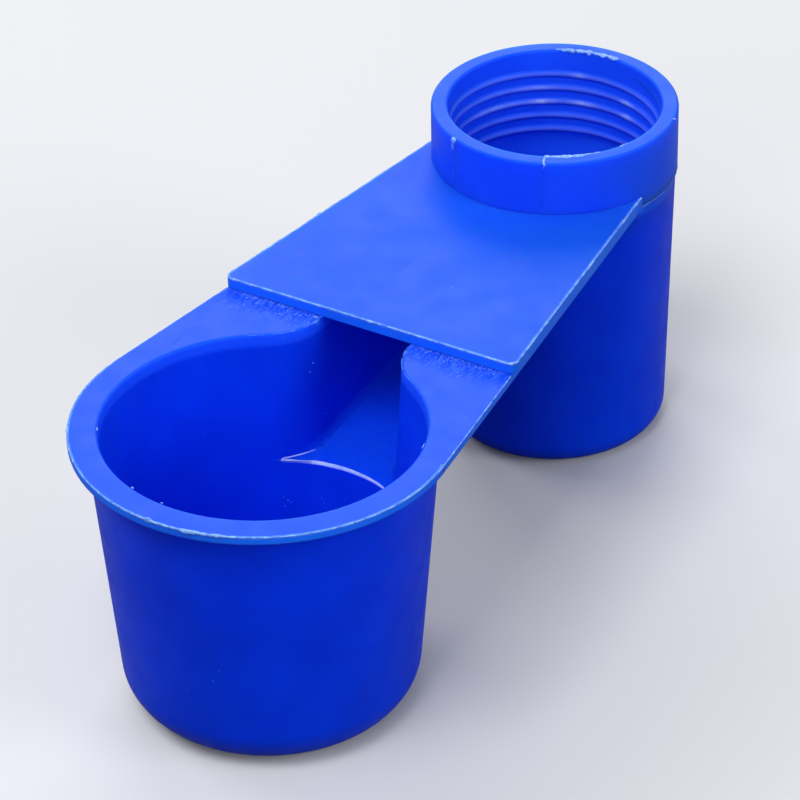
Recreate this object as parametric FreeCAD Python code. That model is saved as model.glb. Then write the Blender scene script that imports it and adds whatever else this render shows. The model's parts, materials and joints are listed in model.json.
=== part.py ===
import FreeCAD, Part
import math
import os

# A poultry drinking cup: an open body moulding and a cover moulding glued on top of it.
# Millimetres. The axis of the threaded socket stands on X = 0, Y = 0, the flat bases
# rest on Z = 0, and the drinking cup lies toward -Y.

# Socket and well
thread_root_r = 14.0        # bore of the socket, the root of its thread
socket_wall = 2.2
skirt_wall = 0.7            # the thin skirt that hangs from the socket into the well
skirt_gap = 0.28            # room between the skirt and the mouth of the well
well_wall = 1.0
well_draft = 0.9            # the well is this much smaller in radius at its base
well_corner_r = 3.2
well_floor = 1.4
well_core_chamfer = 1.5     # inner lower corner of the well

# Cup
axis_gap = 71.55            # from the socket axis to the cup axis
cup_mouth_r = 19.8
cup_wall = 1.6
cup_draft = 3.25            # the cup is this much smaller in radius at its base
cup_corner_r = 5.9
cup_floor = 1.5

# Heights
cover_seat_z = 38.65        # top of the body, where the cover is glued on
flange_thick = 1.25
plate_thick = 1.5
collar_rise = 7.5           # the collar stands this far above the plate
skirt_depth = 3.4           # the skirt reaches this far below the plate

# Outline seen from above
flange_width = 2.05         # the flange stands out from the outside of the cup
side_offset = 14.43         # from the socket axis to the straight sides of the flange
plate_overhang = 0.4        # the plate stands out from the flange along both sides
plate_front_y = -47.65
plate_corner_r = 1.0

# Channel between cup and well
channel_half = 6.35         # half of its width at the seat of the cover
channel_draft = 1.2         # degrees, each side wall leans in toward the floor
channel_wall = 1.3
channel_floor_z = 21.15     # where the floor meets the wall of the cup
channel_slope = 6.0         # degrees, the floor climbs gently toward the well
channel_floor_thick = 1.3
channel_edge_r = 2.2        # outer rounding along its underside
neck_r = 8.2                # rounded corners where the channel leaves the cup
neck_outer_r = 4.0          # the same corners on the outside, and across the underside

flange_under_z = cover_seat_z - flange_thick
plate_top_z = cover_seat_z + plate_thick
rim_z = plate_top_z + collar_rise
skirt_z = cover_seat_z - skirt_depth

collar_r = thread_root_r + socket_wall
skirt_r = thread_root_r + skirt_wall
well_inner_r = skirt_r + skirt_gap
well_outer_r = well_inner_r + well_wall
cup_outer_r = cup_mouth_r + cup_wall
flange_r = cup_outer_r + flange_width
side_angle = math.asin((flange_r - side_offset) / axis_gap)
channel_rise = math.tan(math.radians(channel_slope))
channel_taper = math.tan(math.radians(channel_draft))

cup_axis = FreeCAD.Vector(0, -axis_gap, 0)
socket_axis = FreeCAD.Vector(0, 0, 0)
up = FreeCAD.Vector(0, 0, 1)


def cylinder(axis, radius, low_z, high_z):
    base = FreeCAD.Vector(axis.x, axis.y, low_z)
    return Part.makeCylinder(radius, high_z - low_z, base, up)


def level_circles(solid, z):
    """Round edges of a solid that lie at one height."""
    found = []
    for edge in solid.Edges:
        box = edge.BoundBox
        flat = box.ZMax - box.ZMin < 1e-6
        if flat and abs(box.ZMin - z) < 1e-6 and hasattr(edge.Curve, "Radius"):
            found.append(edge)
    return found


def drafted_r(mouth_r, draft, z):
    """Radius at a height of a pot whose draft is counted over the full height of the body."""
    return mouth_r - draft * (cover_seat_z - z) / cover_seat_z


def tapered_pot(axis, mouth_r, draft, low_z):
    """A solid pot, narrower at the base, that reaches up to the seat of the cover."""
    low_r = drafted_r(mouth_r, draft, low_z)
    base = FreeCAD.Vector(axis.x, axis.y, low_z)
    return Part.makeCone(low_r, mouth_r, cover_seat_z - low_z, base, up)


def round_base(pot, low_z, corner_r):
    return pot.makeFillet(corner_r, level_circles(pot, low_z))


def side_point(offset, along, side):
    """A point of a straight side, counted from the foot of the socket axis toward the cup."""
    x = offset * math.cos(side_angle) + along * math.sin(side_angle)
    y = offset * math.sin(side_angle) - along * math.cos(side_angle)
    return FreeCAD.Vector(side * x, y, 0)


def prism(points, low_z, high_z):
    """A straight-sided solid over a closed outline of points."""
    outline = Part.makePolygon(points + [points[0]])
    face = Part.Face(outline)
    face.translate(FreeCAD.Vector(0, 0, low_z))
    return face.extrude(FreeCAD.Vector(0, 0, high_z - low_z))


def floor_height(y):
    """Height of the sloping channel floor, which leaves the wall of the cup at a crease."""
    crease_y = drafted_r(cup_mouth_r, cup_draft, channel_floor_z) - axis_gap
    return channel_floor_z + channel_rise * (y - crease_y)


def channel_prism(half_width, below_floor):
    """A run from cup axis to socket axis with leaning sides, its underside along the floor."""
    low_z = floor_height(-axis_gap) - below_floor
    low_half = half_width - channel_taper * (cover_seat_z - low_z)
    section = [FreeCAD.Vector(-low_half, -axis_gap, low_z),
               FreeCAD.Vector(low_half, -axis_gap, low_z),
               FreeCAD.Vector(half_width, -axis_gap, cover_seat_z),
               FreeCAD.Vector(-half_width, -axis_gap, cover_seat_z)]
    run = Part.Face(Part.makePolygon(section + [section[0]])).extrude(-cup_axis)
    wedge = [FreeCAD.Vector(-half_width, -axis_gap, low_z),
             FreeCAD.Vector(-half_width, 0, floor_height(0) - below_floor),
             FreeCAD.Vector(-half_width, 0, low_z)]
    across = FreeCAD.Vector(2 * half_width, 0, 0)
    return run.cut(Part.Face(Part.makePolygon(wedge + [wedge[0]])).extrude(across))


def flange():
    """The flat top of the body: a ring round the cup that narrows to the well."""
    tangent_length = axis_gap * math.cos(side_angle)
    points = [side_point(side_offset, 0, 1), side_point(side_offset, tangent_length, 1),
              side_point(side_offset, tangent_length, -1), side_point(side_offset, 0, -1)]
    web = prism(points, flange_under_z, cover_seat_z)
    ring = cylinder(cup_axis, flange_r, flange_under_z, cover_seat_z)
    return web.fuse(ring)


def channel_trough():
    """Outside of the channel, with its two lower edges rounded."""
    trough = channel_prism(channel_half + channel_wall, channel_floor_thick)
    long_low = []
    for edge in trough.Edges:
        box = edge.BoundBox
        if box.YLength > axis_gap / 2 and box.Center.z < flange_under_z:
            long_low.append(edge)
    return trough.makeFillet(channel_edge_r, long_low)


def neck_edges(solid, half_width):
    """The two upright edges where a side of the channel meets the tapered wall of the cup."""
    found = []
    for edge in solid.Edges:
        box = edge.BoundBox
        upright = box.ZLength > 0.6 * (cover_seat_z - channel_floor_z)
        at_side = abs(abs(box.Center.x) - half_width) < channel_wall
        at_cup = -axis_gap < box.YMin and box.YMax < -axis_gap / 2
        if upright and at_side and at_cup:
            found.append(edge)
    return found


def hollow_inside():
    """The water space: cup, channel and well in one, with the neck corners rounded."""
    cup = tapered_pot(cup_axis, cup_mouth_r, cup_draft, cup_floor)
    cup = round_base(cup, cup_floor, cup_corner_r - cup_wall)
    well = tapered_pot(socket_axis, well_inner_r, well_draft, well_floor)
    well = well.makeChamfer(well_core_chamfer, level_circles(well, well_floor))
    hollow = cup.fuse([channel_prism(channel_half, 0), well]).removeSplitter()
    return hollow.makeFillet(neck_r, neck_edges(hollow, channel_half))


def cup_body():
    cup = round_base(tapered_pot(cup_axis, cup_outer_r, cup_draft, 0), 0, cup_corner_r)
    well = round_base(tapered_pot(socket_axis, well_outer_r, well_draft, 0), 0, well_corner_r)
    necked = cup.fuse(channel_trough()).removeSplitter()
    necked = necked.makeFillet(neck_outer_r, neck_edges(necked, channel_half + channel_wall))
    outside = necked.fuse([well, flange()])
    return outside.cut(hollow_inside()).removeSplitter()


def cover_plate():
    """The flat plate, a little wider than the flange, with its front corners blunted."""
    offset = side_offset + plate_overhang
    front_along = (offset * math.sin(side_angle) - plate_front_y) / math.cos(side_angle)
    points = [side_point(offset, 0, 1), side_point(offset, front_along, 1),
              side_point(offset, front_along, -1), side_point(offset, 0, -1)]
    plate = prism(points, cover_seat_z, plate_top_z)
    corners = []
    for edge in plate.Edges:
        box = edge.BoundBox
        if box.ZLength > plate_thick / 2 and box.YMax < plate_front_y + 1e-6:
            corners.append(edge)
    return plate.makeFillet(plate_corner_r, corners)


def socket_cover():
    collar = cylinder(socket_axis, collar_r, cover_seat_z, rim_z)
    skirt = cylinder(socket_axis, skirt_r, skirt_z, cover_seat_z)
    bore = cylinder(socket_axis, thread_root_r, skirt_z, rim_z)
    return collar.fuse([skirt, cover_plate()]).cut(bore).removeSplitter()


def export(shape, name):
    box = shape.optimalBoundingBox(True, False)
    print(name, "solids", len(shape.Solids), "valid", shape.isValid())
    print("  volume", round(shape.Volume, 1), "length", round(box.YLength, 2),
          "width", round(box.XLength, 2), "height", round(box.ZLength, 2))
    shape.exportStep("parts/" + name + ".step")


os.makedirs("parts", exist_ok=True)
export(cup_body(), "cup_body")
export(socket_cover(), "socket_cover")
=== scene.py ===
# %% [markdown]
# # A poultry drinking cup
# This lesson dresses a small injection-moulded drinker: an open cup, a channel with a flat
# cover glued over it, and a threaded socket that takes an upturned water bottle. The solid
# model comes in as a fixed frame, in metres, with the socket's axis on X = Y = 0 and the
# flat bases on Z = 0. Everything below adds finish and small detail around it.

# %% Load the frame
import bpy
import bmesh
import json
import math
import random
from mathutils import Matrix, Vector
from mathutils import noise


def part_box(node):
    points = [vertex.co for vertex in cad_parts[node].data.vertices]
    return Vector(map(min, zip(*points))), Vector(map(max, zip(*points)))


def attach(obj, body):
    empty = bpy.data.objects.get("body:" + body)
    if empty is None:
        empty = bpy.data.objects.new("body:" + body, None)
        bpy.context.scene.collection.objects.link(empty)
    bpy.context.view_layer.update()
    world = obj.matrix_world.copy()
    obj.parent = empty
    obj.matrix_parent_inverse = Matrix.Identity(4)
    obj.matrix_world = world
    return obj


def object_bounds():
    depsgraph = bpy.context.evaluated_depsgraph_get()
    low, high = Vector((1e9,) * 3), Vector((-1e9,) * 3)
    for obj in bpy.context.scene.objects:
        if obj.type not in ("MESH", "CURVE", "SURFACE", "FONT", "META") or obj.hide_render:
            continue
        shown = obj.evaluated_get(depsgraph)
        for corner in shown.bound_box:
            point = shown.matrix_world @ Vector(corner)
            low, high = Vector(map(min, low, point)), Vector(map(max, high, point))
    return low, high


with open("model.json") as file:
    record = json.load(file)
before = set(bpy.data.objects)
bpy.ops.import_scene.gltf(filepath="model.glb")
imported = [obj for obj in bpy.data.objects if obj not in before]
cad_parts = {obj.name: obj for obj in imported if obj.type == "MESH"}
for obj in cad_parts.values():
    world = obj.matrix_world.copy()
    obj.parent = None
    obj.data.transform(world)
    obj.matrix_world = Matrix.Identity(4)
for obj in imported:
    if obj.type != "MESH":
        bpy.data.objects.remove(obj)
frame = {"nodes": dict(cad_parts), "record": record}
cad_low, cad_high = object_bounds()
body = frame["nodes"]["cup_body"]
cover = frame["nodes"]["socket_cover"]
print("solid model", [round(v * 1000, 1) for v in cad_high - cad_low], "mm")

# %% [markdown]
# ## Measures
# Details on a moulding are easier to think about in millimetres, so every value below is
# in millimetres and is turned into metres only where points are written. The main places
# are read from the solid model itself, so the details stay on it if its size changes.

# %% Measures of the two mouldings
MM = 0.001
mounts = {mount["name"]: mount for mount in frame["record"]["mounts"]}
BORE_R = mounts["bottle_thread"]["dims"]["r_mm"]
CUP_Y = mounts["cup_base"]["pos_m"][1] / MM
SEAT_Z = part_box("cup_body")[1].z / MM
FLANGE_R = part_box("cup_body")[1].x / MM
RIM_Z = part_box("socket_cover")[1].z / MM
SKIRT_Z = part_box("socket_cover")[0].z / MM
COLLAR_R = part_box("socket_cover")[1].y / MM
PLATE_FRONT_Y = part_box("socket_cover")[0].y / MM
PLATE_TOP_Z = max(v.co.z for v in cover.data.vertices if v.co.y < -2 * COLLAR_R * MM) / MM
print("seat", round(SEAT_Z, 2), "plate top", round(PLATE_TOP_Z, 2), "rim", round(RIM_Z, 2))

# %% [markdown]
# ## The camera
# The photograph was matched by fitting a camera to the outlines of both mouths, the plate
# and the bases. A long lens from about half a metre away gives the weak perspective.

# %% Camera
CAMERA_PLACE = Vector((227.3, -411.6, 311.6)) * MM
CAMERA_AZIMUTH = math.radians(31.459)
CAMERA_ELEVATION = math.radians(33.438)
CAMERA_ROLL = math.radians(-1.053)
CAMERA_LENS = 185.2


def camera_axes(azimuth, elevation, roll):
    """The camera's right, up and backward directions."""
    back = Vector((math.sin(azimuth) * math.cos(elevation),
                   -math.cos(azimuth) * math.cos(elevation),
                   math.sin(elevation)))
    right = Vector((math.cos(azimuth), math.sin(azimuth), 0))
    up = back.cross(right)
    turned_right = right * math.cos(roll) + up * math.sin(roll)
    turned_up = up * math.cos(roll) - right * math.sin(roll)
    return turned_right, turned_up, back


camera = bpy.data.objects.new("camera", bpy.data.cameras.new("camera"))
bpy.context.scene.collection.objects.link(camera)
camera.data.lens = CAMERA_LENS
camera.data.sensor_width = 36
camera.data.clip_start = 0.01
axes = camera_axes(CAMERA_AZIMUTH, CAMERA_ELEVATION, CAMERA_ROLL)
camera.matrix_world = Matrix.Translation(CAMERA_PLACE) @ Matrix(axes).transposed().to_4x4()
bpy.context.scene.camera = camera
print("camera is", round(CAMERA_PLACE.length, 3), "m from the socket's foot")

# %% [markdown]
# ## Colours and nodes
# Colours are written as the hex values that a picture shows. A shader works with linear
# light, so one function converts them. A second small function adds any shader node with
# its settings, its fixed inputs and its links. The others mix two colours, multiply two
# values, and turn a real size in millimetres into the scale of a pattern.

# %% Colour and node helpers


def linear(hex_colour):
    """An sRGB hex colour such as "#1a2b3c" as linear red, green, blue and alpha."""
    values = []
    for start in (1, 3, 5):
        level = int(hex_colour[start:start + 2], 16) / 255
        if level <= 0.04045:
            values.append(level / 12.92)
        else:
            values.append(((level + 0.055) / 1.055) ** 2.4)
    return (*values, 1.0)


def add_node(material, kind, inputs=None, **settings):
    """Adds a shader node; an input is a value, or the socket that it is linked to."""
    tree = material.node_tree
    node = tree.nodes.new(kind)
    for name, value in settings.items():
        setattr(node, name, value)
    for name, value in (inputs or {}).items():
        if isinstance(value, bpy.types.NodeSocket):
            tree.links.new(value, node.inputs[name])
        else:
            node.inputs[name].default_value = value
    return node


def mixed(material, share, first, second):
    """Mixes two colours by a share between 0 and 1 and gives the colour socket."""
    return add_node(material, "ShaderNodeMix", {0: share, 6: first, 7: second},
                    data_type="RGBA").outputs[2]


def product(material, first, second):
    return add_node(material, "ShaderNodeMath", {0: first, 1: second},
                    operation="MULTIPLY").outputs[0]


def pattern_scale(size):
    """Scale of a pattern whose single features are this many millimetres wide."""
    return 1 / (size * MM)


print("one millimetre of grain has a pattern scale of", round(pattern_scale(1)))

# %% [markdown]
# ## A floor and soft studio light
# The object was photographed on something dark, so little light came back up under it.
# The floor here is pale to the camera and in reflections, but gives back only a
# little light to matt surfaces, so the undersides and the lower walls keep their depth.

# %% Floor
FLOOR_HALF = 3.0
FLOOR_PAPER = "#d2d3d6"
FLOOR_BOUNCE = "#4a4b4e"
GLOSS_SHARE = 0.35


def matt_backdrop():
    """Pale paper, fully matt; the light that it throws back on the object is held down."""
    material = bpy.data.materials.new("matt_paper_backdrop")
    material.use_nodes = True
    shader = material.node_tree.nodes["Principled BSDF"]
    rays = add_node(material, "ShaderNodeLightPath").outputs
    in_gloss = product(material, rays["Is Glossy Ray"], GLOSS_SHARE)
    direct = add_node(material, "ShaderNodeMath",
                      {0: rays["Is Camera Ray"], 1: in_gloss}, operation="MAXIMUM")
    seen = add_node(material, "ShaderNodeMath",
                    {0: direct.outputs[0], 1: rays["Is Transmission Ray"]},
                    operation="MAXIMUM")
    colour = mixed(material, seen.outputs[0], linear(FLOOR_BOUNCE), linear(FLOOR_PAPER))
    material.node_tree.links.new(colour, shader.inputs["Base Color"])
    shader.inputs["Roughness"].default_value = 0.9
    shader.inputs["Specular IOR Level"].default_value = 0.1
    return material


def pale_floor():
    mesh = bpy.data.meshes.new("floor")
    corners = [(-FLOOR_HALF, -FLOOR_HALF, 0), (FLOOR_HALF, -FLOOR_HALF, 0),
               (FLOOR_HALF, FLOOR_HALF, 0), (-FLOOR_HALF, FLOOR_HALF, 0)]
    mesh.from_pydata(corners, [], [(0, 1, 2, 3)])
    mesh.materials.append(matt_backdrop())
    floor = bpy.data.objects.new("floor", mesh)
    bpy.context.scene.collection.objects.link(floor)


pale_floor()

# %% [markdown]
# ## Soft studio light
# A large lamp above and in front gives the form, and two at the sides lift the walls that
# face them. A low one behind is seen as a gloss on the flat tops, which mirror it
# toward the camera, as a lit wall behind would be. The world adds an even pale glow.

# %% Lamps and world
AIM = Vector((0, -0.04, 0.03))


def softbox(name, place, size, power):
    """A square lamp with a soft edge to its shadow, turned toward the object."""
    lamp = bpy.data.lights.new(name, "AREA")
    lamp.shape = "RECTANGLE"
    lamp.size, lamp.size_y = size
    lamp.energy = power
    holder = bpy.data.objects.new(name, lamp)
    bpy.context.scene.collection.objects.link(holder)
    holder.location = place
    holder.rotation_euler = (AIM - Vector(place)).to_track_quat("-Z", "Y").to_euler()
    print(name, power, "W")


softbox("front_top_softbox", (-0.03, -0.52, 0.92), (0.5, 0.5), 6.0)
softbox("right_softbox", (0.95, 0.05, 0.4), (0.5, 0.6), 4.4)
softbox("left_softbox", (-0.9, 0.0, 0.6), (0.5, 0.5), 3.0)
softbox("rear_wall_softbox", (-0.46, 0.68, 0.56), (0.7, 0.5), 5.0)
softbox("camera_side_softbox", (0.25, -0.9, 0.6), (0.5, 0.5), 2.4)
world = bpy.data.worlds.new("light_tent")
world.use_nodes = True
world.node_tree.nodes["Background"].inputs["Color"].default_value = linear("#f2f4f8")
world.node_tree.nodes["Background"].inputs["Strength"].default_value = 0.28
bpy.context.scene.world = world

# %% [markdown]
# ## Moulded blue polypropylene
# Both mouldings are polypropylene, coloured right through and shot into a polished steel
# mould. To the eye that gives a deep, saturated blue with a waxy half gloss, and gloss
# that is itself a little blue, since light goes a short way into the plastic before it
# One colour and one gloss value would look like a screen drawing, so
# noise patterns of real sizes stand for what is there: slow flow marks, a fine grain
# copied from the mould, hairline scratches and dust specks. Faces that look up get a
# patchy paler blue, which is a painted highlight. The cover, the flange, the plate's
# sides and the deep well get lighter blues, which are painted glow and painted light,
# and the flange just in front of the plate is darkened as painted shade. The colour
# patterns use object coordinates, so they are fixed to the part and don't slide when the
# camera moves.

# %% Sizes and colours of the plastic's patterns
DEEP_BLUE = "#0434dc"
PURE_BLUE = "#043ae8"
# Painted glow: lighter copies of the blue, for the cover, its bore and the flange, standing for
# light that comes through the thin plastic.
PAINTED_GLOW_DEEP_BLUE = "#144af0"
PAINTED_GLOW_PURE_BLUE = "#1851f7"
# Painted highlight: the paler blue of faces that look up, for the light that falls on them.
PAINTED_TOP_LIGHT_BLUE = "#1057f4"
# Painted light: a lighter blue deep inside the well, where it lies in shade.
PAINTED_WELL_LIGHT_BLUE = "#2060ff"
# Painted glow: lighter blues for the upright sides of the plate and the flange.
PAINTED_SIDE_GLOW_DEEP_BLUE = "#1866f8"
PAINTED_SIDE_GLOW_PURE_BLUE = "#1c6eff"
WELL_R = 15.0
DUST_BLUE = "#5f93f5"
FLOW_MARK = 9.0
MOULD_GRAIN = 0.75
FLECK = 0.5
FLECK_PATCH = 14.0
SCRATCH_WIDTH = 0.45
BODY_GLOW = (0.6, 4.0)
COVER_GLOW = (1.0, 6.0)
INNER_GLOW = (0.2, 1.0)
WIPE_WIDTH = 0.35
WIPE_BLUE = "#5a8cff"
GRAIN_HEIGHT = 0.006
FLOW_HEIGHT = 0.012
SCRATCH_HEIGHT = 0.004

# %% Scratches


def scratch_lines(material, place, turn, stretch):
    """Thin lines along one direction: a noise squeezed in one axis, kept only at its top."""
    turned = add_node(material, "ShaderNodeMapping",
                      {"Vector": place, "Rotation": (0.3, 0.2, math.radians(turn)),
                       "Scale": (1, 1 / stretch, 1)})
    streaks = add_node(material, "ShaderNodeTexNoise",
                       {"Vector": turned.outputs[0], "Scale": pattern_scale(SCRATCH_WIDTH),
                        "Detail": 1.0})
    return add_node(material, "ShaderNodeMapRange",
                    {"Value": streaks.outputs[0], "From Min": 0.66, "From Max": 0.78})


print("scratches are drawn", SCRATCH_WIDTH, "mm wide, coarser than real hairlines of 0.05 mm")

# %% The plastic itself


def upward_share(material, low, high):
    """0 on upright faces and 1 on faces that look up."""
    normal = add_node(material, "ShaderNodeNewGeometry").outputs["Normal"]
    parts = add_node(material, "ShaderNodeSeparateXYZ", {"Vector": normal})
    return add_node(material, "ShaderNodeMapRange",
                    {"Value": parts.outputs["Z"], "From Min": low, "From Max": high})


def top_light_place_share(material, place):
    """Where the painted highlight on upward faces goes: 1 on the flat tops, half in the cup, and
    0 on the channel floor in the shade under the cover.
    """
    parts = add_node(material, "ShaderNodeSeparateXYZ", {"Vector": place})
    on_top = add_node(material, "ShaderNodeMath",
                      {0: parts.outputs["Z"], 1: (SEAT_Z - 1) * MM}, operation="GREATER_THAN")
    in_cup = add_node(material, "ShaderNodeMapRange",
                      {"Value": parts.outputs["Y"], "From Min": (PLATE_FRONT_Y - 2) * MM,
                       "From Max": (PLATE_FRONT_Y + 9) * MM, "To Min": 0.55, "To Max": 0.0})
    return add_node(material, "ShaderNodeMath", {0: on_top.outputs[0], 1: in_cup.outputs[0]},
                    operation="MAXIMUM").outputs[0]


def moulded_colour(material, place, deep, pure):
    """Two blues in slow flow marks, a patchy painted highlight on upward faces, and a few dust
    specks.
    """
    flow = add_node(material, "ShaderNodeTexNoise",
                    {"Vector": place, "Scale": pattern_scale(FLOW_MARK), "Detail": 3.0})
    flow_share = add_node(material, "ShaderNodeMapRange",
                          {"Value": flow.outputs[0], "From Min": 0.35, "From Max": 0.65})
    colour = mixed(material, flow_share.outputs[0], linear(deep), linear(pure))
    top_light_patches = add_node(material, "ShaderNodeTexNoise",
                     {"Vector": place, "Scale": pattern_scale(1.6), "Detail": 4.0})
    top_light_patch_share = add_node(material, "ShaderNodeMapRange",
                           {"Value": top_light_patches.outputs[0], "From Min": 0.25, "From Max": 0.75,
                            "To Min": 0.35, "To Max": 1.0})
    # Painted highlight: upward faces turn paler, in patches.
    painted_top_light = product(material, upward_share(material, 0.9, 0.99).outputs[0],
                    top_light_patch_share.outputs[0])
    painted_top_light = product(material, painted_top_light, top_light_place_share(material, place))
    colour = mixed(material, painted_top_light, colour, linear(PAINTED_TOP_LIGHT_BLUE))
    flecks = add_node(material, "ShaderNodeTexNoise",
                      {"Vector": place, "Scale": pattern_scale(FLECK), "Detail": 2.0})
    patches = add_node(material, "ShaderNodeTexNoise",
                       {"Vector": place, "Scale": pattern_scale(FLECK_PATCH)})
    peaks = add_node(material, "ShaderNodeMapRange",
                     {"Value": flecks.outputs[0], "From Min": 0.75, "From Max": 0.8})
    some = add_node(material, "ShaderNodeMapRange",
                    {"Value": patches.outputs[0], "From Min": 0.5, "From Max": 0.65})
    return mixed(material, product(material, peaks.outputs[0], some.outputs[0]),
                 colour, linear(DUST_BLUE))


def flange_painted_glow_share(material, place):
    """1 on the thin flange, which is painted a lighter blue than the walls as a painted glow."""
    parts = add_node(material, "ShaderNodeSeparateXYZ", {"Vector": place})
    return add_node(material, "ShaderNodeMapRange",
                    {"Value": parts.outputs["Z"], "From Min": (SEAT_Z - 1.9) * MM,
                     "From Max": (SEAT_Z - 1.2) * MM}).outputs[0]


def well_painted_light_share(material, place):
    """1 deep inside the well, which is painted a lighter blue as painted light in its shade."""
    level = add_node(material, "ShaderNodeVectorMath", {0: place, 1: (1, 1, 0)},
                     operation="MULTIPLY")
    from_axis = add_node(material, "ShaderNodeVectorMath", {0: level.outputs[0]},
                         operation="LENGTH")
    inside = add_node(material, "ShaderNodeMath",
                      {0: from_axis.outputs["Value"], 1: WELL_R * MM}, operation="LESS_THAN")
    parts = add_node(material, "ShaderNodeSeparateXYZ", {"Vector": place})
    above = add_node(material, "ShaderNodeMapRange",
                     {"Value": parts.outputs["Z"], "From Min": 4 * MM, "From Max": 9 * MM})
    return product(material, inside.outputs[0], above.outputs[0])


def glue_and_painted_shade_zone(material, place):
    """A share that is 1 on the flange close in front of the plate and fades ahead of it; it
    carries the glue strokes and a painted shade from the plate's edge.
    """
    parts = add_node(material, "ShaderNodeSeparateXYZ", {"Vector": place})
    near = add_node(material, "ShaderNodeMapRange",
                    {"Value": parts.outputs["Y"], "From Min": (PLATE_FRONT_Y - 4.4) * MM,
                     "From Max": (PLATE_FRONT_Y - 1.4) * MM})
    on_top = add_node(material, "ShaderNodeMath",
                      {0: parts.outputs["Z"], 1: (SEAT_Z - 0.2) * MM}, operation="GREATER_THAN")
    return product(material, near.outputs[0], on_top.outputs[0])


def wiped_strokes(material, place):
    """Short slanting strokes of thin glue."""
    turned = add_node(material, "ShaderNodeMapping",
                      {"Vector": place, "Rotation": (0, 0, math.radians(-20)),
                       "Scale": (1, 0.3, 1)})
    strokes = add_node(material, "ShaderNodeTexNoise",
                       {"Vector": turned.outputs[0], "Scale": pattern_scale(WIPE_WIDTH),
                        "Detail": 2.0})
    return add_node(material, "ShaderNodeMapRange",
                    {"Value": strokes.outputs[0], "From Min": 0.46, "From Max": 0.68,
                     "To Max": 0.45}).outputs[0]


def moulded_relief(material, place, scratches):
    """The fine grain of the mould, slow waves of flow, and scratches cut into them."""
    flow = add_node(material, "ShaderNodeTexNoise",
                    {"Vector": place, "Scale": pattern_scale(FLOW_MARK), "Detail": 1.0})
    waves = add_node(material, "ShaderNodeBump",
                     {"Height": flow.outputs[0], "Distance": FLOW_HEIGHT * MM})
    grain = add_node(material, "ShaderNodeTexNoise",
                     {"Vector": place, "Scale": pattern_scale(MOULD_GRAIN), "Detail": 2.0})
    grained = add_node(material, "ShaderNodeBump",
                       {"Height": grain.outputs[0], "Distance": GRAIN_HEIGHT * MM,
                        "Normal": waves.outputs[0]})
    return add_node(material, "ShaderNodeBump",
                    {"Height": scratches, "Distance": -SCRATCH_HEIGHT * MM,
                     "Normal": grained.outputs[0]})


def set_waxy_gloss(shader, depth=0.6, reach=4.0):
    """Polypropylene: IOR 1.49, a soft half gloss with a blue cast, and light inside it."""
    shader.inputs["IOR"].default_value = 1.49
    shader.inputs["Specular IOR Level"].default_value = 0.1
    shader.inputs["Specular Tint"].default_value = (0.24, 0.52, 1.0, 1.0)
    shader.inputs["Subsurface Weight"].default_value = depth
    shader.inputs["Subsurface Radius"].default_value = (0.15, 0.55, 1.0)
    shader.inputs["Subsurface Scale"].default_value = reach * MM


def moulded_polypropylene(name, deep, pure, glow, is_body=False):
    material = bpy.data.materials.new(name)
    material.use_nodes = True
    shader = material.node_tree.nodes["Principled BSDF"]
    links = material.node_tree.links
    place = add_node(material, "ShaderNodeTexCoord").outputs["Object"]
    scratches = scratch_lines(material, place, 38, 16).outputs[0]
    gloss = add_node(material, "ShaderNodeTexNoise",
                     {"Vector": place, "Scale": pattern_scale(3.2), "Detail": 3.0})
    patchy = add_node(material, "ShaderNodeMapRange",
                      {"Value": gloss.outputs[0], "From Min": 0.3, "From Max": 0.7,
                       "To Min": 0.38, "To Max": 0.5})
    rough = add_node(material, "ShaderNodeMath",
                     {0: scratches, 1: 0.08, 2: patchy.outputs[0]}, operation="MULTIPLY_ADD")
    colour = moulded_colour(material, place, deep, pure)
    if is_body:
        # Painted light: the inside of the well is painted lighter.
        colour = mixed(material, well_painted_light_share(material, place), colour, linear(PAINTED_WELL_LIGHT_BLUE))
        # Painted glow: the flange is painted a lighter blue.
        colour = mixed(material, flange_painted_glow_share(material, place), colour, linear(PAINTED_GLOW_PURE_BLUE))
        glue_and_shade = glue_and_painted_shade_zone(material, place)
        # Painted shade: the flange is darkened close in front of the plate; the strokes and
        # roughness below are the glue.
        colour = mixed(material, product(material, glue_and_shade, 0.4), colour, linear(pure))
        strokes = product(material, glue_and_shade, wiped_strokes(material, place))
        colour = mixed(material, strokes, colour, linear(WIPE_BLUE))
        rough = add_node(material, "ShaderNodeMath", {0: glue_and_shade, 1: 0.12, 2: rough.outputs[0]},
                         operation="MULTIPLY_ADD")
    links.new(colour, shader.inputs["Base Color"])
    links.new(rough.outputs[0], shader.inputs["Roughness"])
    relief = moulded_relief(material, place, scratches)
    links.new(relief.outputs[0], shader.inputs["Normal"])
    set_waxy_gloss(shader, *glow)
    return material


body_plastic = moulded_polypropylene("mould_polished_blue_polypropylene_body",
                                     DEEP_BLUE, PURE_BLUE, BODY_GLOW, is_body=True)
# The cover and its bore take the lighter blues of the painted glow.
cover_plastic = moulded_polypropylene("mould_polished_blue_polypropylene_cover",
                                      PAINTED_GLOW_DEEP_BLUE, PAINTED_GLOW_PURE_BLUE, COVER_GLOW)
bore_plastic = moulded_polypropylene("bore_of_blue_polypropylene",
                                     PAINTED_GLOW_DEEP_BLUE, PAINTED_GLOW_PURE_BLUE, INNER_GLOW)
painted_glow_side_plastic = moulded_polypropylene("lit_side_of_thin_blue_polypropylene",
                                     PAINTED_SIDE_GLOW_DEEP_BLUE, PAINTED_SIDE_GLOW_PURE_BLUE, INNER_GLOW)
print(body_plastic.name, "has", len(body_plastic.node_tree.nodes), "nodes")

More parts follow.
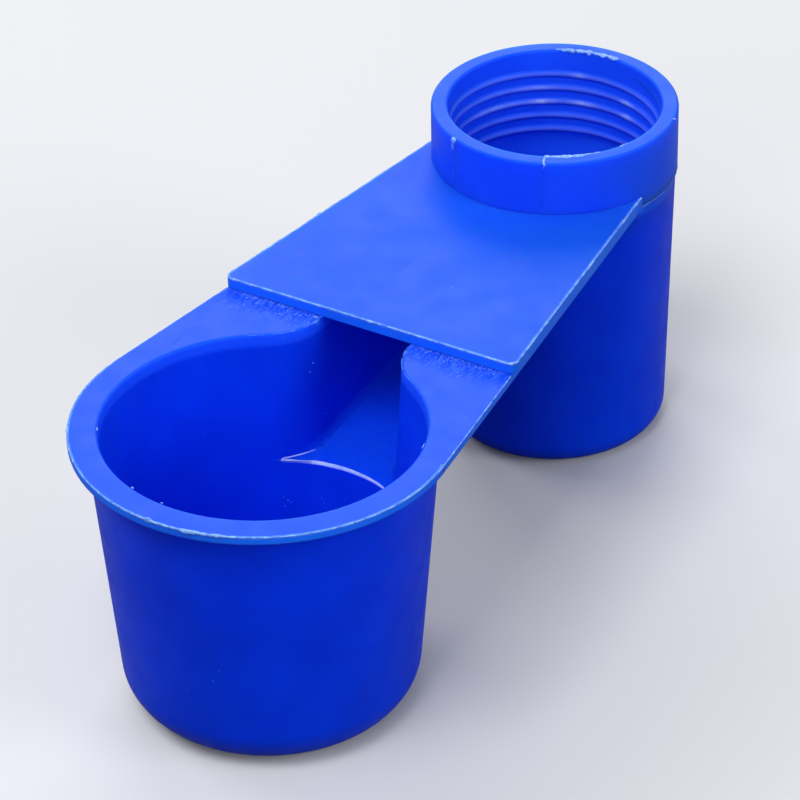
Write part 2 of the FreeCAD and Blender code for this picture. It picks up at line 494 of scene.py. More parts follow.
# %% [markdown]
# ## Whitened plastic on the edges
# Where the two halves of a mould meet, and where flash is torn or trimmed away, the blue
# plastic is stretched and turns pale and cloudy. It shows as a thin light line on the
# edges, with brighter crumbs. Faces of it that look up are painted paler still, a painted
# highlight. It could be drawn as a stripe in the main material, but the line then ends
# nowhere in particular, so the narrow faces of the rounded edges and the burrs get a
# material of their own, mixed from pale and blue patches.

# %% Whitened plastic


def whitened_and_highlit_polypropylene(name, pale, patch, least, most, upright):
    """Stretched, cloudy plastic: how pale at least and at most, and on upright faces; faces that
    look up are painted paler as a painted highlight.
    """
    material = bpy.data.materials.new(name)
    material.use_nodes = True
    shader = material.node_tree.nodes["Principled BSDF"]
    place = add_node(material, "ShaderNodeTexCoord").outputs["Object"]
    patches = add_node(material, "ShaderNodeTexNoise",
                       {"Vector": place, "Scale": pattern_scale(patch), "Detail": 4.0,
                        "Roughness": 0.65})
    share = add_node(material, "ShaderNodeMapRange",
                     {"Value": patches.outputs[0], "From Min": 0.38, "From Max": 0.62,
                      "To Min": least, "To Max": most})
    # Painted highlight: the pale share is full on faces that look up and cut down on upright
    # ones.
    facing = upward_share(material, 0.0, 0.5)
    facing.inputs["To Min"].default_value = upright
    whitened_and_highlit_share = product(material, facing.outputs[0], share.outputs[0])
    colour = mixed(material, whitened_and_highlit_share, linear(PURE_BLUE), linear(pale))
    grit = add_node(material, "ShaderNodeTexNoise",
                    {"Vector": place, "Scale": pattern_scale(0.3), "Detail": 3.0})
    relief = add_node(material, "ShaderNodeBump",
                      {"Height": grit.outputs[0], "Distance": 0.03 * MM})
    material.node_tree.links.new(colour, shader.inputs["Base Color"])
    material.node_tree.links.new(relief.outputs[0], shader.inputs["Normal"])
    set_waxy_gloss(shader, 0.15)
    shader.inputs["Roughness"].default_value = 0.42
    return material


edge_plastic = whitened_and_highlit_polypropylene("mould_parted_whitened_and_highlit_polypropylene",
                                      "#5fa4ff", 1.6, 0.3, 0.8, 0.1)
burr_plastic = whitened_and_highlit_polypropylene("torn_whitened_polypropylene",
                                      "#92c2ff", 0.7, 0.35, 1.0, 0.9)
# Rubbed pale, and partly a painted highlight: the lip's near-white line.
lip_plastic = whitened_and_highlit_polypropylene("rubbed_and_highlit_lip_polypropylene", "#b9ceff", 1.4, 0.6, 1.0, 0.4)
lip_plastic.node_tree.nodes["Principled BSDF"].inputs["Roughness"].default_value = 0.28
weld_plastic = whitened_and_highlit_polypropylene("welded_polypropylene", "#2459fb", 2.0, 0.3, 0.9, 1.0)
seam_plastic = whitened_and_highlit_polypropylene("glued_seam_polypropylene", "#6f86ea", 2.0, 0.3, 0.9, 0.9)

# %% [markdown]
# ## Rounded edges on the solids
# No moulded edge is perfectly sharp. A radius of a quarter of a millimetre catches the
# light as a thin line, which is much of what makes plastic look real. The solid's own
# points stay as they are: one modifier joins the split points of the imported mesh, the
# next joins the triangles of each flat face, so that no sliver gets in the way, and three
# Bevel modifiers round the edges by a weight that is written on each of them. The mouth of
# the cup and the two corners along the channel floor stay blue. The outer edges take the
# whitened plastic, painted paler where they look up as a painted highlight. The lip where
# the channel floor runs out into the cup is rounder than the rest and rubbed pale, and its
# nearly white colour is partly a painted highlight. Inward corners stay crisp, as a steel
# mould leaves them.

# %% Kinds of edge
WELD = 0.001
SHARP = math.radians(30)
SLIGHT = math.radians(9)
LIP_Y = -53.27
LIP_Z = 21.15
FLOOR_SLOPE = math.tan(math.radians(6))


def on_channel_floor(place):
    """Whether a place is on the sloping floor, between the cup and the well."""
    floor_z = LIP_Z + FLOOR_SLOPE * (place.y - LIP_Y)
    return abs(place.z - floor_z) < 0.15 and CUP_Y / 1.2 < place.y < -COLLAR_R


def at_mouth(place):
    """Whether a place is on the inner edge of the body's top, not on its outline."""
    in_cup = math.hypot(place.x, place.y - CUP_Y) < FLANGE_R - 1
    in_run = abs(place.x) < COLLAR_R / 2 and PLATE_FRONT_Y + 0.1 < place.y < 0
    return abs(place.z - SEAT_Z) < 0.1 and (in_cup or in_run)


def in_seam(place):
    """Whether a place is where the plate lies on the flange, or on the collar's foot."""
    return abs(place.z - SEAT_Z) < 0.1 and place.y > PLATE_FRONT_Y - 0.1


def edge_kind(place, angle):
    """What an edge is on the object, or nothing on an even surface."""
    if on_channel_floor(place) and angle > SLIGHT:
        return "lip"
    if on_channel_floor(place) and angle < -SHARP:
        return "floor corner"
    if angle > SHARP:
        if place.z > RIM_Z - 0.1:
            return "collar rim"
        if at_mouth(place):
            return "mouth"
        return "seam" if in_seam(place) else "outer"
    return "crisp" if angle < -SHARP else ""


# %% Weights of the edges
ROUNDINGS = {"blue_corners": {"floor corner": 0.9, "mouth": 0.4, "collar rim": 0.38,
                              "seam": 0.12},
             "parted_edges": {"outer": 0.3},
             "rubbed_lip": {"lip": 0.38}}
LIP_TAPER = 2.2
TIP_BLUNT = 1.0


def ends_key(one, two):
    """Names an edge by its two ends, so that split copies of it share a name."""
    return tuple(sorted(tuple(round(v / MM, 3) for v in end) for end in (one, two)))


def sorted_edges(node):
    """The kind and middle of each sharp edge of the solid, with its points joined."""
    mesh = bmesh.new()
    mesh.from_mesh(node.data)
    bmesh.ops.remove_doubles(mesh, verts=mesh.verts, dist=WELD * MM)
    found = {}
    for edge in mesh.edges:
        one, two = (vert.co for vert in edge.verts)
        middle = (one + two) / 2 / MM
        kind = edge_kind(middle, edge.calc_face_angle_signed(0))
        if kind:
            found[ends_key(one, two)] = (kind, middle)
    mesh.free()
    return found


def tip_share(middle, tip_x):
    """The lip and the floor's corners run into each other, so their radius dies out there."""
    return min(1.0, max(0.0, (tip_x - TIP_BLUNT - abs(middle.x)) / LIP_TAPER)) ** 2


def worn_share(middle):
    """The lip is rubbed most on its left half, and less and less toward the right."""
    return 1 - 0.04 * max(0.0, middle.x + 5)


def weigh_edges(node):
    """Writes on each edge of the solid how wide it is rounded, as a share of the widest."""
    found = sorted_edges(node)
    tip_x = max([abs(middle.x) for kind, middle in found.values() if kind == "lip"] or [0])
    for name, widths in ROUNDINGS.items():
        weights = node.data.attributes.new(name, "FLOAT", "EDGE").data
        for edge in node.data.edges:
            ends = [node.data.vertices[index].co for index in edge.vertices]
            kind, middle = found.get(ends_key(*ends), ("", None))
            share = tip_share(middle, tip_x) if kind in ("lip", "floor corner") else 1.0
            if kind == "lip":
                share *= worn_share(middle)
            weights[edge.index].value = share * widths.get(kind, 0) / max(widths.values())
            edge.use_edge_sharp = kind == "crisp"
    print(node.name, len(found), "edges to round, lip ends", round(tip_x, 1), "mm out")


# %% Rounding
FLAT = math.radians(0.3)
SIDE_X = 14.2
SIDE_SLOPE = 0.127


def round_edges(node, name, segments, material):
    bevel = node.modifiers.new(name, "BEVEL")
    bevel.width = max(ROUNDINGS[name].values()) * MM
    bevel.segments = segments
    bevel.limit_method = "WEIGHT"
    bevel.edge_weight = name
    bevel.material = material
    bevel.miter_outer = "MITER_ARC"
    bevel.use_clamp_overlap = False


def on_outline(place):
    """Whether a place is on the outer side of the plate or of the flange."""
    beside = abs(place.x) > SIDE_X - SIDE_SLOPE * place.y
    round_cup = math.hypot(place.x, place.y - CUP_Y) > FLANGE_R - 0.2
    in_front = place.y < PLATE_FRONT_Y + 1.1 and place.z > SEAT_Z - 0.01
    return beside or round_cup or in_front


def face_slot(face, corners):
    """The material slot of a face: 3 on the side of plate or flange, which is painted a lighter
    blue as a painted glow, 2 in the bore, else 0.
    """
    if all(math.hypot(place.x, place.y) < BORE_R + 0.01 for place in corners):
        return 2
    heights = [place.z for place in corners]
    thin = min(heights) > SEAT_Z - 1.3 and max(heights) < PLATE_TOP_Z + 0.01
    upright = abs(face.normal.z) < 0.1
    return 3 if thin and upright and all(map(on_outline, corners)) else 0


def finish_solid(node, main, third):
    """Gives a solid its materials and rounds its edges."""
    node.data.materials.clear()
    for material in (main, edge_plastic, third, painted_glow_side_plastic):
        node.data.materials.append(material)
    for face in node.data.polygons:
        corners = [node.data.vertices[index].co / MM for index in face.vertices]
        face.material_index = face_slot(face, corners)
    weigh_edges(node)
    node.modifiers.new("join_split_points", "WELD").merge_threshold = WELD * MM
    flat = node.modifiers.new("join_flat_faces", "DECIMATE")
    flat.decimate_type = "DISSOLVE"
    flat.angle_limit = FLAT
    flat.delimit = {"NORMAL", "SHARP"}
    round_edges(node, "blue_corners", 4, 0)
    round_edges(node, "parted_edges", 3, 1)
    if node is body:
        round_edges(node, "rubbed_lip", 4, 2)
    node.modifiers.new("join_double_points", "WELD").merge_threshold = WELD * MM
    node.modifiers.new("even_normals", "WEIGHTED_NORMAL").keep_sharp = True


finish_solid(body, body_plastic, lip_plastic)
finish_solid(cover, cover_plastic, bore_plastic)

# %% [markdown]
# ## Making small pieces
# The thread, burrs, flash and glue are small raised shapes that follow an edge or a
# curve. One builder sweeps a ring of points along a row of places, with a radius that
# may change at each place, and breaks the bead where the radius goes to nothing. That
# gives ragged lines with gaps and lumps, which a plain tube could not.

# %% Piece builder
LEAST_BEAD = 0.035
PROUD = 0.03


def add_piece(name, mesh, material):
    """Turns a bmesh in millimetres into an object in metres that rides on the part."""
    bmesh.ops.recalc_face_normals(mesh, faces=mesh.faces)
    for vert in mesh.verts:
        place = vert.co * MM
        vert.co = [min(max(v, low - PROUD * MM), high + PROUD * MM)
                   for v, low, high in zip(place, cad_low, cad_high)]
    data = bpy.data.meshes.new(name)
    mesh.to_mesh(data)
    mesh.free()
    data.materials.append(material)
    data.shade_smooth()
    piece = bpy.data.objects.new(name, data)
    bpy.context.scene.collection.objects.link(piece)
    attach(piece, "root")
    print(name, len(data.polygons), "faces")
    return piece


def ring_around(mesh, place, along, radius, sides, bumpy):
    """A ring of points square to a direction, each a little nearer or farther."""
    guide = Vector((1, 0, 0)) if abs(along.z) > 0.8 else Vector((0, 0, 1))
    side = along.cross(guide).normalized()
    up = side.cross(along).normalized()
    ring = []
    for step in range(sides):
        angle = 2 * math.pi * step / sides
        spoke = side * math.cos(angle) + up * math.sin(angle)
        sample = (place + spoke * radius) * 2.3
        ring.append(mesh.verts.new(place + spoke * radius * (1 + bumpy * noise.noise(sample))))
    return ring


def sweep_run(mesh, run, sides, bumpy):
    """One unbroken bead through places that each have a direction and a radius."""
    if len(run) < 2:
        return
    rings = [ring_around(mesh, *stop, sides, bumpy) for stop in run]
    for before, ring in zip(rings, rings[1:]):
        for step in range(sides):
            after = (step + 1) % sides
            mesh.faces.new((before[step], before[after], ring[after], ring[step]))
    mesh.faces.new(rings[0])
    mesh.faces.new(rings[-1])


def sweep_bead(mesh, path, radius_at, sides=8, bumpy=0.5):
    """Sweeps a ragged ring along a row of points, broken wherever it gets too thin."""
    run = []
    for number, place in enumerate(path):
        radius = radius_at(place)
        if radius < LEAST_BEAD:
            sweep_run(mesh, run, sides, bumpy)
            run = []
            continue
        behind = path[max(number - 1, 0)]
        ahead = path[min(number + 1, len(path) - 1)]
        run.append((place, (ahead - behind).normalized(), radius))
    sweep_run(mesh, run, sides, bumpy)


def arc(centre_y, radius, start, end, height, step=0.3):
    """Points on a level arc round the cup or socket axis, in plan angles in degrees."""
    count = max(2, round(abs(math.radians(end - start)) * radius / step))
    points = []
    for number in range(count + 1):
        angle = math.radians(start + (end - start) * number / count)
        points.append(Vector((radius * math.cos(angle), centre_y + radius * math.sin(angle),
                              height)))
    return points


# %% [markdown]
# ## The bottle thread
# The socket's bore in the solid model is at the root of its thread. The thread itself is a
# right-hand ridge, 2.1 mm from turn to turn, that stands about 0.4 mm into the bore. It
# starts just under the rim at the back and runs down a little over five turns, until it
# dies out at the end of the skirt. It could be a bump pattern, but its crests catch their
# own highlights, so it is swept as real geometry, with a narrow crest on gentle flanks,
# ends that fade out, and a slight waver as a quickly made mould has. The crests rub
# against the neck of each bottle, which leaves them a little pale, and the thread's
# plastic grows paler toward the axis, partly from that wear and partly as a painted
# highlight on the crests. Its root is painted a lighter blue as painted light in the
# bore, and a few painted glints sit on the crests at listed turns.

# %% Rubbed plastic of the thread
# The root's lighter blue is painted light in the bore; the crest blue is partly wear and partly a
# painted highlight.
ROOT_BLUE = "#134cf4"
CREST_BLUE = "#4d6cf4"
CREST_GLINT_BLUE = "#a3baff"
CREST_FROM = 0.12
CREST_TO = 0.34


def worn_and_highlit_crest_polypropylene(name):
    """Paler crests, partly worn and partly a painted highlight: what lies nearer to the axis is
    paler, with painted glints at listed turns.
    """
    material = bpy.data.materials.new(name)
    material.use_nodes = True
    shader = material.node_tree.nodes["Principled BSDF"]
    place = add_node(material, "ShaderNodeTexCoord").outputs["Object"]
    level = add_node(material, "ShaderNodeVectorMath", {0: place, 1: (1, 1, 0)},
                     operation="MULTIPLY")
    from_axis = add_node(material, "ShaderNodeVectorMath", {0: level.outputs[0]},
                         operation="LENGTH")
    crest = add_node(material, "ShaderNodeMapRange",
                     {"Value": from_axis.outputs["Value"], "To Max": 0.85,
                      "From Min": (BORE_R - CREST_FROM) * MM,
                      "From Max": (BORE_R - CREST_TO) * MM})
    colour = mixed(material, crest.outputs[0], linear(ROOT_BLUE), linear(CREST_BLUE))
    glint_noise = add_node(material, "ShaderNodeTexNoise",
                    {"Vector": place, "Scale": pattern_scale(0.7), "Detail": 3.0})
    uneven = add_node(material, "ShaderNodeMapRange",
                      {"Value": glint_noise.outputs[0], "From Min": 0.3, "From Max": 0.6,
                       "To Min": 0.5})
    # Painted glints: near-white spots on the crest, at turns listed below.
    glint_spots = add_node(material, "ShaderNodeAttribute", attribute_name="crest_glint")
    glint = product(material, crest.outputs[0], glint_spots.outputs["Fac"])
    glint = product(material, glint, uneven.outputs[0])
    colour = mixed(material, glint, colour, linear(CREST_GLINT_BLUE))
    grit = add_node(material, "ShaderNodeTexNoise",
                    {"Vector": place, "Scale": pattern_scale(0.6), "Detail": 2.0})
    relief = add_node(material, "ShaderNodeBump",
                      {"Height": grit.outputs[0], "Distance": 0.012 * MM})
    material.node_tree.links.new(colour, shader.inputs["Base Color"])
    material.node_tree.links.new(relief.outputs[0], shader.inputs["Normal"])
    set_waxy_gloss(shader, 0.2)
    shader.inputs["Roughness"].default_value = 0.36
    return material


thread_plastic = worn_and_highlit_crest_polypropylene("bottle_worn_and_highlit_blue_polypropylene")

# %% Thread ridge
THREAD_PITCH = 2.09
THREAD_HEIGHT = 0.37
THREAD_HALF_WIDTH = 0.72
THREAD_START_ANGLE = 86.5
THREAD_START_DEPTH = 1.61
THREAD_TURNS = 5.3
THREAD_SUNK = 0.06
STEPS_A_TURN = 120
SECTION_STEPS = 14
# Painted glints on the crests: turn, half length and strength of each.
CREST_GLINTS = [(2.891, 0.016, 1.0), (2.952, 0.017, 0.9), (2.81, 0.04, 0.4), (1.886, 0.025, 0.35),
        (0.947, 0.009, 0.7), (2.034, 0.011, 0.9), (3.034, 0.011, 0.9)]


def thread_fade(turn):
    """How much of its height the ridge has, from nothing at its ends to all of it."""
    run_in = min(1.0, turn / 0.4)
    run_out = min(1.0, (THREAD_TURNS - turn) / 0.3)
    return max(0.0, math.sin(math.pi / 2 * min(run_in, run_out)))


def thread_section(turn):
    """The ridge's section at one place, from its upper foot over the crest to the lower."""
    angle = math.radians(THREAD_START_ANGLE - 360 * turn)
    middle_z = RIM_Z - THREAD_START_DEPTH - THREAD_PITCH * turn
    outward = Vector((math.cos(angle), math.sin(angle), 0))
    waver = 1 + 0.1 * noise.noise(outward * 6 + Vector((0, 0, middle_z)))
    height = (THREAD_HEIGHT + THREAD_SUNK) * thread_fade(turn) * waver
    points = []
    for step in range(SECTION_STEPS + 1):
        across = 2 * step / SECTION_STEPS - 1
        bulge = math.cos(math.pi / 2 * across) ** 1.3
        radius = BORE_R + THREAD_SUNK - height * bulge
        z = max(middle_z - across * THREAD_HALF_WIDTH, SKIRT_Z + THREAD_SUNK)
        points.append(outward * radius + Vector((0, 0, z)))
    return points


def thread_ridge():
    mesh = bmesh.new()
    before = None
    for number in range(round(THREAD_TURNS * STEPS_A_TURN) + 1):
        section = [mesh.verts.new(p) for p in thread_section(number / STEPS_A_TURN)]
        if before:
            for one in range(SECTION_STEPS + 1):
                two = (one + 1) % (SECTION_STEPS + 1)
                mesh.faces.new((before[one], before[two], section[two], section[one]))
        else:
            mesh.faces.new(section)
        before = section
    mesh.faces.new(before)
    return mesh


def crest_glint_at(turn):
    """How strong the painted glint on the crest is at one turn; a glint is its middle, its half
    length and strength.
    """
    return sum(strength * math.exp(-((turn - middle) / reach) ** 2)
               for middle, reach, strength in CREST_GLINTS)


thread = add_piece("bottle_thread_ridge", thread_ridge(), thread_plastic)
crest_glint = thread.data.attributes.new("crest_glint", "FLOAT", "POINT").data
for number in range(len(crest_glint)):
    crest_glint[number].value = min(1.0, crest_glint_at(number // (SECTION_STEPS + 1) / STEPS_A_TURN))

# %% [markdown]
# ## Finding the edges
# A burr sits on an edge of the moulding, so its line is read from the solid: the sharp
# outward edges at one height are collected and chained into rows of points. Steps of
# a third of a millimetre are finer than the lumps that the burr will have.

# %% Edge finder
BEAD_STEP = 0.3


def wanted_links(node, wanted):
    """Which points are joined by edges of the wanted sort, and their places."""
    mesh = bmesh.new()
    mesh.from_mesh(node.data)
    bmesh.ops.remove_doubles(mesh, verts=mesh.verts, dist=WELD * MM)
    links, places = {}, {}
    for edge in mesh.edges:
        one, two = edge.verts
        if wanted(one.co / MM, two.co / MM, edge.calc_face_angle_signed(0)):
            links.setdefault(one.index, []).append(two.index)
            links.setdefault(two.index, []).append(one.index)
            places[one.index] = one.co / MM
            places[two.index] = two.co / MM
    mesh.free()
    return links, places


def chain(links):
    """Follows joined points from end to end; a closed edge ends where it began."""
    rows = []
    while links:
        row = [min(links, key=lambda index: (len(links[index]) != 1, index))]
        while links.get(row[-1]):
            here = row[-1]
            there = links[here].pop()
            links[there].remove(here)
            row.append(there)
            for index in (here, there):
                if not links[index]:
                    del links[index]
        rows.append(row)
    return rows


def even_steps(points, step):
    """The same line with its points a fixed distance apart."""
    result = [points[0].copy()]
    wanted = step
    passed = 0.0
    for one, two in zip(points, points[1:]):
        length = (two - one).length
        while length > 0 and wanted <= passed + length:
            result.append(one.lerp(two, (wanted - passed) / length))
            wanted += step
        passed += length
    return result


def edge_paths(node, wanted):
    """The wanted edges as even rows of points, the longest first."""
    links, places = wanted_links(node, wanted)
    rows = [even_steps([places[index] for index in row], BEAD_STEP) for row in chain(links)]
    return sorted(rows, key=len, reverse=True)


def sharp_at(height):
    """A test for sharp outward edges that lie at one height."""
    def wanted(one, two, angle):
        return angle > SHARP and all(abs(end.z - height) < 0.01 for end in (one, two))
    return wanted


plate_edges = edge_paths(cover, sharp_at(PLATE_TOP_Z))
seat_edges = edge_paths(body, sharp_at(SEAT_Z))
print("edges of the plate:", [len(row) for row in plate_edges])
print("edges of the body's top:", [len(row) for row in seat_edges])

# %% [markdown]
# ## Burrs and flash
# Thin ragged lines of torn plastic stand along the plate's upper edge and round the mouth
# of the cup, with a few larger crumbs whose places were read from the photograph.
# The noise that drives the radius has lumps of one to two millimetres, and places
# where the burr broke off clean.

# %% Ragged radius


def ragged(place, thin, thick, grain):
    """A radius between two values that wanders in lumps of about one grain."""
    slow = noise.noise(place * (1 / grain)) * 0.5 + 0.5
    quick = noise.noise(place * (2.9 / grain)) * 0.5 + 0.5
    level = 0.6 * slow + 0.4 * quick
    return thin + (thick - thin) * min(1.0, max(0.0, (level - 0.3) / 0.45))


def lumps(place, known):
    """What the nearby lumps add; each is its centre's x and y, its height and its reach."""
    total = 0.0
    for x, y, height, reach in known:
        away = math.hypot(place.x - x, place.y - y) / reach
        total += height * math.exp(-away * away)
    return total


def sunk(path, depth):
    """The same line moved in and down, onto the rounding of the edge."""
    centre = sum(path, Vector()) / len(path)
    return [place + (centre - place).normalized() * depth + Vector((0, 0, -depth))
            for place in path]


# %% Burr on the plate
PLATE_LUMPS = [(-19.4, -47.6, 0.12, 0.5), (-17.0, -47.6, 0.1, 0.3), (-6.6, -47.6, 0.16, 0.35),
               (0.4, -47.6, 0.14, 0.3), (4.8, -47.6, 0.1, 0.3), (9.9, -47.6, 0.1, 0.3),
               (20.6, -47.4, 0.12, 0.4), (19.6, -39.1, 0.08, 0.5), (17.4, -23.0, 0.1, 1.6),
               (16.0, -11.2, 0.12, 0.8), (15.6, -6.6, 0.14, 0.5), (-18.6, -28.8, 0.16, 0.35),
               (-17.0, -23.3, 0.14, 0.3)]


def plate_burr_radius(place):
    return ragged(place, 0.045, 0.12, 0.9) + lumps(place, PLATE_LUMPS)


def plate_burr():
    mesh = bmesh.new()
    sweep_bead(mesh, sunk(plate_edges[0], 0.07), plate_burr_radius)
    return mesh


add_piece("plate_edge_burr", plate_burr(), burr_plastic)

# %% Burrs round the mouth of the cup
RIM_LUMPS = [(-0.9, -95.0, 0.2, 0.5), (-2.4, -94.9, 0.08, 0.5), (4.2, -94.6, 0.1, 0.9),
             (7.8, -93.7, 0.08, 0.9), (-19.7, -84.3, 0.1, 0.6), (-18.9, -85.6, 0.08, 0.4),
             (1.5, -94.9, 0.06, 3.0), (6.5, -94.1, 0.08, 3.5)]
MOUTH_LUMPS = [(-16.6, -82.3, 0.12, 0.4), (-6.1, -90.4, 0.1, 0.4), (-1.4, -91.3, 0.1, 0.4),
               (19.2, -66.1, 0.055, 1.0)]


def rim_burr_radius(place):
    if place.y > PLATE_FRONT_Y:
        return 0.0
    return ragged(place, 0.04, 0.12, 1.2) + lumps(place, RIM_LUMPS)


def mouth_burr_radius(place):
    return lumps(place, MOUTH_LUMPS) if place.y < CUP_Y + 12 else 0.0


def neck_burr_radius(place):
    if not CUP_Y + 13 < place.y < PLATE_FRONT_Y - 0.5:
        return 0.0
    near_plate = (place.y - CUP_Y - 13) / (PLATE_FRONT_Y - CUP_Y - 13.5)
    return ragged(place, 0.02, 0.085, 1.1) * min(1.0, 0.5 + near_plate)


def widest(row):
    return max(abs(place.x) for place in row)


mouth, outline = sorted(seat_edges[:2], key=widest)


def cup_burrs():
    mesh = bmesh.new()
    sweep_bead(mesh, sunk(outline, 0.07), rim_burr_radius)
    sweep_bead(mesh, mouth, mouth_burr_radius)
    return mesh


def neck_burrs():
    mesh = bmesh.new()
    sweep_bead(mesh, mouth, neck_burr_radius)
    return mesh


add_piece("cup_rim_burrs", cup_burrs(), burr_plastic)
add_piece("channel_neck_burrs", neck_burrs(), edge_plastic)

# %% [markdown]
# ## The tip of the lip
# At its left end the lip meets the foot of the channel wall in a narrow tip. The parts of
# the mould met there, and left a hair of flash round the tip and a little way up the
# corner, which shows as a hooked pale line; its near-white colour is partly a painted
# highlight.

# %% Flash round the tip of the lip
TIP_FLASH = 0.13
TIP_RUN = 5.0
BRANCH_END_Y = -51.0
lip_x = max(abs(middle.x) for kind, middle in sorted_edges(body).values() if kind == "lip")


def round_left_tip(one, two, angle):
    middle = (one + two) / 2
    kind = edge_kind(middle, angle)
    return kind in ("lip", "floor corner") and middle.x < TIP_RUN - lip_x


def beside_corner(place, lip_r):
    """Moves a place of the sharp corner to where its rounding ends on the floor."""
    if math.hypot(place.x, place.y - CUP_Y) < lip_r + 0.1:
        return place
    off = ROUNDINGS["blue_corners"]["floor corner"] * tip_share(place, lip_x)
    return place + Vector((off, 0, 0))


def tip_flash():
    mesh = bmesh.new()
    row = edge_paths(body, round_left_tip)[0]
    tip = min(row, key=lambda place: place.x)
    lip_r = math.hypot(tip.x, tip.y - CUP_Y)
    path = [beside_corner(place, lip_r) for place in row
            if place.y < BRANCH_END_Y and place.x > TIP_BLUNT - lip_x]

    def radius(place):
        share = path.index(place) / (len(path) - 1)
        return TIP_FLASH * math.sin(math.pi * share) ** 0.5

    sweep_bead(mesh, path, radius, bumpy=0.25)
    print("tip of the lip at", [round(v, 1) for v in tip], "mm")
    return mesh


add_piece("channel_lip_tip_flash", tip_flash(), lip_plastic)

# %% [markdown]
# ## Marks on the collar
# The collar has the marks of a simple two-part mould: a vertical weld line at its front
# left, where the plastic met after it flowed round the core, with a bright torn
# nick at its top, a second nick at the front, and flash on the inner edge of its rim that was
# cut off roughly, at the back and at the front right.

# %% Weld line and nicks
WELD_ANGLE = 246.0
NICK_ANGLE = 294.5


def on_collar(angle, radius, height):
    turned = math.radians(angle)
    return Vector((radius * math.cos(turned), radius * math.sin(turned), height))


def torn_nick(mesh, angle, width, drop, reach):
    """A torn drop at the rim: over its flat top from the bore, then down the outside."""
    path = [on_collar(angle - 0.6, COLLAR_R - reach + 0.1 * step, RIM_Z)
            for step in range(round(reach / 0.1))]
    path += [on_collar(angle - 0.6 * step * 0.1, COLLAR_R, RIM_Z - 0.1 * step)
             for step in range(round(drop / 0.1) + 1)]

    def radius(place):
        below = min(1.0, (RIM_Z - place.z) / drop)
        swell = min(1.0, 0.6 + 2.5 * below) * (1 - below) ** 0.8
        return width * swell * (1 + 0.25 * noise.noise(place * 3))

    sweep_bead(mesh, path, radius, bumpy=0.35)


def nicks():
    mesh = bmesh.new()
    torn_nick(mesh, WELD_ANGLE, 0.46, 2.0, 0.2)
    torn_nick(mesh, NICK_ANGLE, 0.22, 0.8, 1.9)
    torn_nick(mesh, 13.5, 0.14, 0.4, 0.3)
    return mesh


def weld_lines():
    """Broad low lines down the collar: most of each bead lies inside the wall."""
    mesh = bmesh.new()
    heights = [PLATE_TOP_Z + 0.3 + step * 0.25 for step in range(28)]
    for angle, inside in ((WELD_ANGLE, 0.325), (NICK_ANGLE, 0.345)):
        line = [on_collar(angle - 0.15 * (RIM_Z - z), COLLAR_R - inside, z) for z in heights]
        sweep_bead(mesh, line, lambda place: 0.36, sides=24, bumpy=0.02)
    return mesh


add_piece("collar_nicks", nicks(), burr_plastic)
add_piece("collar_weld_lines", weld_lines(), weld_plastic)

# %% Flash on the rim of the collar
FLASH_SPANS = [(82, 101, 0.5), (98, 110, 0.6), (107, 119, 0.5), (293, 324, 0.5),
               (334, 341, 0.2)]


def rim_flash():
    """Torn flash on the inner edge of the rim, thickest near the start of each span."""
    mesh = bmesh.new()
    for start, end, thick in FLASH_SPANS:
        path = arc(0, BORE_R + 0.3, start, end, RIM_Z - 0.02, 0.2)

        def radius(place, path=path, thick=thick):
            share = path.index(place) / (len(path) - 1)
            swell = math.sin(math.pi * share ** 0.5)
            return thick * swell ** 0.6 * ragged(place, 0.5, 1.15, 0.7)

        sweep_bead(mesh, path, radius)
    return mesh


add_piece("collar_rim_flash", rim_flash(), burr_plastic)

# %% [markdown]
# ## Glue
# The cover was stuck to the body with a thin glue that dried pale. A fine line of it was
# squeezed out along the seam behind the collar, and wiped crumbs and short strokes lie on
# the flange in front of the plate. The crumbs are small uneven blobs, pressed flat, that get
# rarer away from the plate.

# %% Dried glue


def dried_glue():
    """Solvent glue: clear when wet, dried to a pale, half-glossy skin over the blue."""
    material = bpy.data.materials.new("dried_solvent_glue")
    material.use_nodes = True
    shader = material.node_tree.nodes["Principled BSDF"]
    place = add_node(material, "ShaderNodeTexCoord").outputs["Object"]
    clouds = add_node(material, "ShaderNodeTexNoise",
                      {"Vector": place, "Scale": pattern_scale(0.5), "Detail": 3.0})
    colour = mixed(material, clouds.outputs[0], linear("#3a74f8"), linear("#7fa8ff"))
    skin = add_node(material, "ShaderNodeBump",
                    {"Height": clouds.outputs[0], "Distance": 0.02 * MM})
    material.node_tree.links.new(colour, shader.inputs["Base Color"])
    material.node_tree.links.new(skin.outputs[0], shader.inputs["Normal"])
    shader.inputs["IOR"].default_value = 1.46
    shader.inputs["Roughness"].default_value = 0.32
    return material


glue = dried_glue()

# %% Seam behind the collar
SEAM_START = -18.0
SEAM_END = 198.0


def seam_bead():
    mesh = bmesh.new()
    path = arc(0, COLLAR_R - 0.08, SEAM_START, SEAM_END, SEAT_Z - 0.05)
    sweep_bead(mesh, path, lambda place: ragged(place, 0.08, 0.16, 2.4), bumpy=0.3)
    return mesh


add_piece("collar_seam_glue", seam_bead(), seam_plastic)

# %% Crumbs and strokes of glue in front of the plate
GLUE_FREE_HALF = 7.2
GLUE_REACH = 21.0
CRUMB_COUNT = 300
STROKE_COUNT = 26


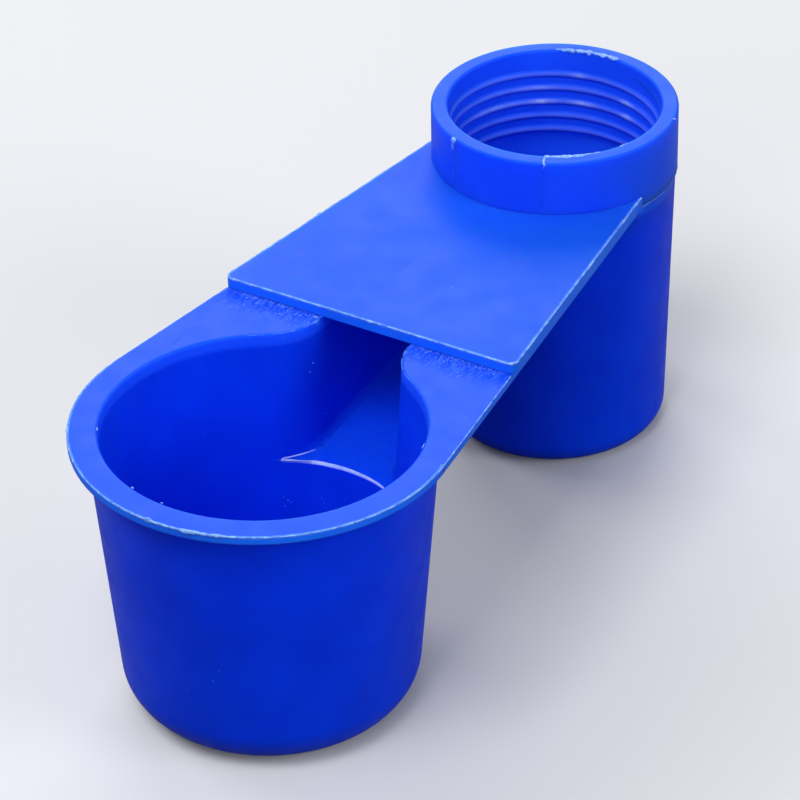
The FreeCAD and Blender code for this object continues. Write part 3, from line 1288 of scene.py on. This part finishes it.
def crumb(mesh, place, size, chance):
    """An uneven blob, pressed flat on the flange."""
    made = bmesh.ops.create_icosphere(mesh, subdivisions=1, radius=size)
    stretch = Vector((chance.uniform(0.8, 1.6), chance.uniform(0.7, 1.2), 0.45))
    for vert in made["verts"]:
        uneven = 1 + 0.4 * noise.noise(vert.co * 9 + place * 3)
        vert.co = place + vert.co * stretch * uneven


def glue_place(chance):
    """A place on the flange, more likely near the plate, and never over the channel."""
    side = chance.choice((-1, 1))
    x = side * chance.uniform(GLUE_FREE_HALF, GLUE_REACH - 2)
    y = PLATE_FRONT_Y - min(3.6, chance.expovariate(1.1))
    return Vector((x, y, SEAT_Z))


def glue_marks():
    mesh = bmesh.new()
    chance = random.Random(11)
    for number in range(CRUMB_COUNT):
        crumb(mesh, glue_place(chance), chance.uniform(0.035, 0.085), chance)
    crumb(mesh, Vector((-7.1, -48.1, SEAT_Z)), 0.28, chance)
    for number in range(STROKE_COUNT):
        start = glue_place(chance)
        turn = math.radians(chance.uniform(60, 115))
        along = Vector((math.cos(turn), math.sin(turn), 0))
        length = chance.uniform(0.3, 0.7)
        path = [start - along * length * step / 8 for step in range(9)]
        thick = chance.uniform(0.036, 0.055)
        sweep_bead(mesh, path, lambda place, thick=thick: thick, sides=6, bumpy=0.6)
    return mesh


add_piece("glue_crumbs_and_strokes", glue_marks(), glue)

# %% Specks of dust and dried water
SPECKS = [(-6.49, -50.08, 33.16, 0.13), (-6.6, -50.66, 32.11, 0.1), (-6.06, -48.1, 24.68, 0.08),
          (-7.94, -55.56, 15.65, 0.09), (-7.48, -55.37, 15.23, 0.1), (-7.12, -55.24, 14.97, 0.08),
          (-7.8, -55.61, 14.35, 0.09), (-3.27, -53.97, 16.14, 0.08), (-2.99, -53.97, 15.47, 0.08),
          (4.91, -90.4, 15.98, 0.07), (4.03, -90.47, 14.2, 0.08), (20.34, -58.28, 38.65, 0.09)]


def specks():
    """Crumbs at places that were read from the photograph and sit on the walls there."""
    mesh = bmesh.new()
    chance = random.Random(5)
    for x, y, z, size in SPECKS:
        crumb(mesh, Vector((x, y, z)), size, chance)
    return mesh


add_piece("dust_specks", specks(), glue)

bpy.context.scene.view_settings.view_transform = "Standard"
